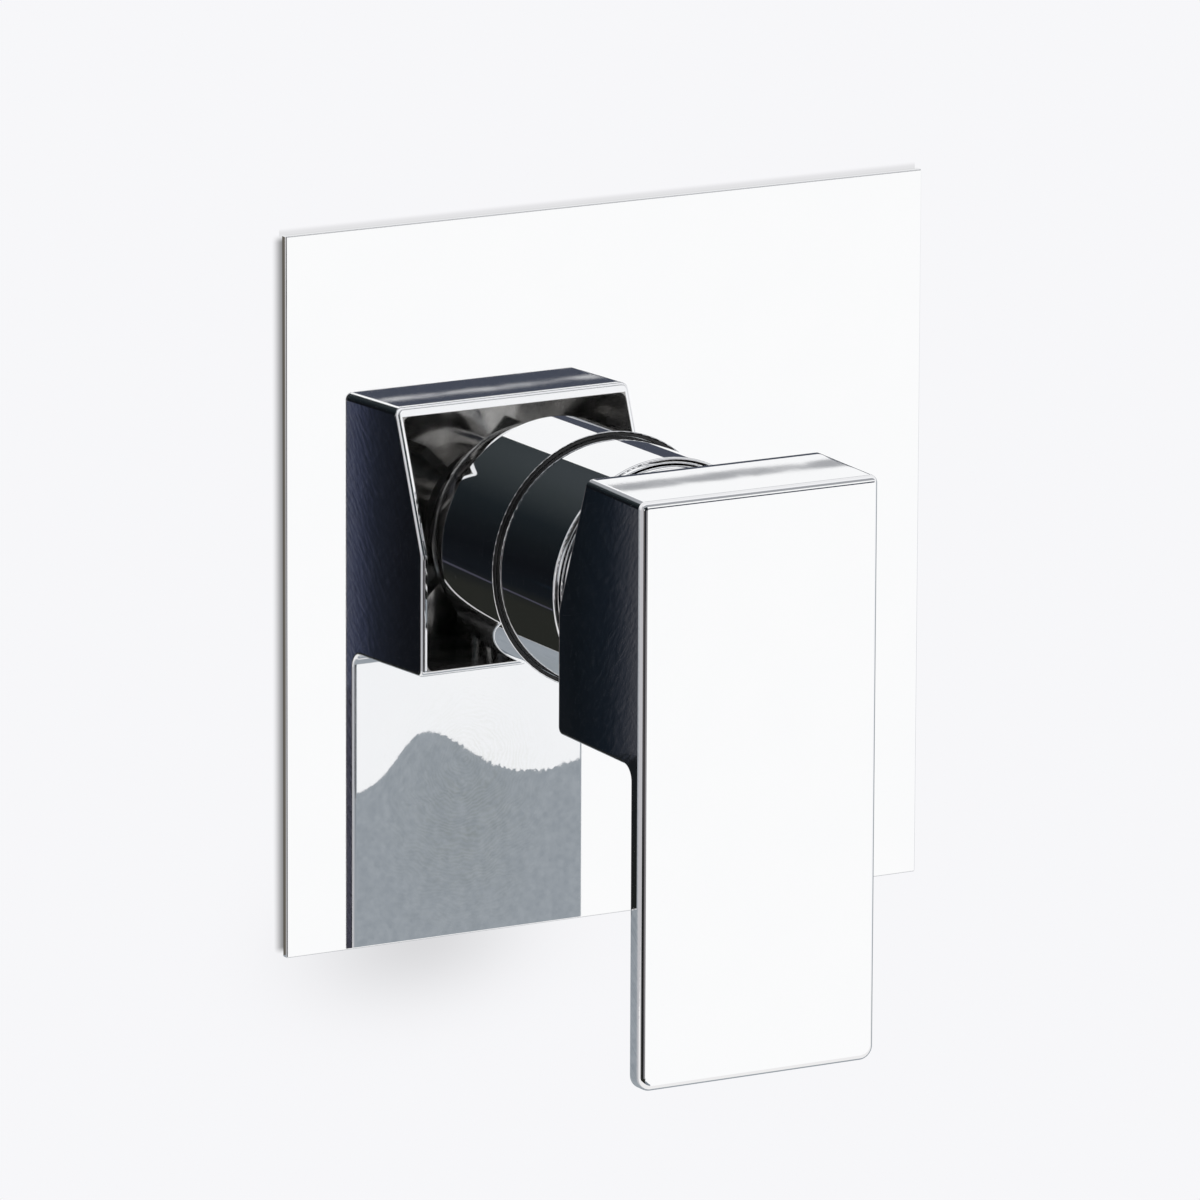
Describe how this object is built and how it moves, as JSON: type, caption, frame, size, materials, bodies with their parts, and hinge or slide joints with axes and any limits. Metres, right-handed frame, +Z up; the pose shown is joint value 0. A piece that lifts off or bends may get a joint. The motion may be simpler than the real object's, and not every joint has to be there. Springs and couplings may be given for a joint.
{
  "type": "pressure balance shower valve",
  "caption": "Wall-mounted pressure balance shower valve: square chrome plate, round sleeve and flat lever that lifts to open and turns for heat, over a brass body with a balancing spool.",
  "frame": {"origin": "on the valve's axis, in the plane of the finished wall that the plate's gasket rests on", "axes": "+Y goes into the wall, +X is to the user's right and +Z is up"},
  "size_m": [0.15, 0.1152, 0.1702],
  "materials": {
    "chrome": "mirror-polished chrome plate",
    "brass": "cast brass, dull outside",
    "steel": "machined stainless steel",
    "black_rubber": "matt moulded rubber",
    "foam": "closed-cell foam strip",
    "black_plastic": "matt moulded",
    "white_plastic": "satin moulded",
    "grey_plastic": "satin moulded",
    "red_plastic": "satin moulded",
    "ceramic": "lapped ceramic"
  },
  "bodies": {
    "valve": {"faceplate": "chrome", "faceplate_gasket": "foam", "plate_collar": "black_plastic", "plate_o_ring": "black_rubber", "sleeve": "chrome", "dome_cap": "chrome", "sleeve_o_ring": "black_rubber", "cartridge_housing": "white_plastic", "hot_limit_ring": "red_plastic", "cartridge_nut": "brass", "fixed_disc": "ceramic", "cartridge_base": "white_plastic", "base_seals": "black_rubber", "valve_body": "brass", "balance_sleeve": "steel", "balance_o_rings": "black_rubber", "balance_caps": "brass", "cap_o_rings": "black_rubber", "hot_check_cage": "black_plastic", "cold_check_cage": "black_plastic", "hot_check_spring": "steel", "cold_check_spring": "steel", "check_o_rings": "black_rubber", "mounting_bracket": "steel", "bracket_screws": "steel"},
    "rotor": {"stem_rotor": "grey_plastic", "pivot_pin": "steel"},
    "handle": {"lever_handle": "chrome", "handle_set_screw": "steel", "set_screw_plug": "black_plastic", "lever_stem": "steel"},
    "disc": {"disc_carrier": "white_plastic", "moving_disc": "ceramic"},
    "spool": {"balance_spool": "steel"},
    "hot_poppet": {"hot_check_poppet": "white_plastic"},
    "cold_poppet": {"cold_check_poppet": "white_plastic"}
  },
  "joints": [
    {"name": "handle_turn", "type": "hinge", "parent": "valve", "child": "rotor", "pos_m": [0, 0, 0], "axis": [0, 1, 0], "range_deg": [-45, 45]},
    {"name": "handle_lift", "type": "hinge", "parent": "rotor", "child": "handle", "pos_m": [0, -0.0268, 0], "axis": [-1, 0, 0], "range_deg": [0, 20]},
    {"name": "disc_slide", "type": "slide", "parent": "rotor", "child": "disc", "axis": [0, 0, -1], "range_m": [0, 0.00658]},
    {"name": "balance_slide", "type": "slide", "parent": "valve", "child": "spool", "axis": [1, 0, 0], "range_m": [-0.0025, 0.0025]},
    {"name": "hot_check", "type": "slide", "parent": "valve", "child": "hot_poppet", "axis": [1, 0, 0], "range_m": [0, 0.0025], "stiffness_N_per_m": 60, "springref_m": -0.003, "deforming": ["hot_check_spring"]},
    {"name": "cold_check", "type": "slide", "parent": "valve", "child": "cold_poppet", "axis": [-1, 0, 0], "range_m": [0, 0.0025], "stiffness_N_per_m": 60, "springref_m": -0.003, "deforming": ["cold_check_spring"]}
  ],
  "couplings": [
    {"joint": "disc_slide", "follows": "handle_lift", "m_per_rad": 0.0187}
  ]
}
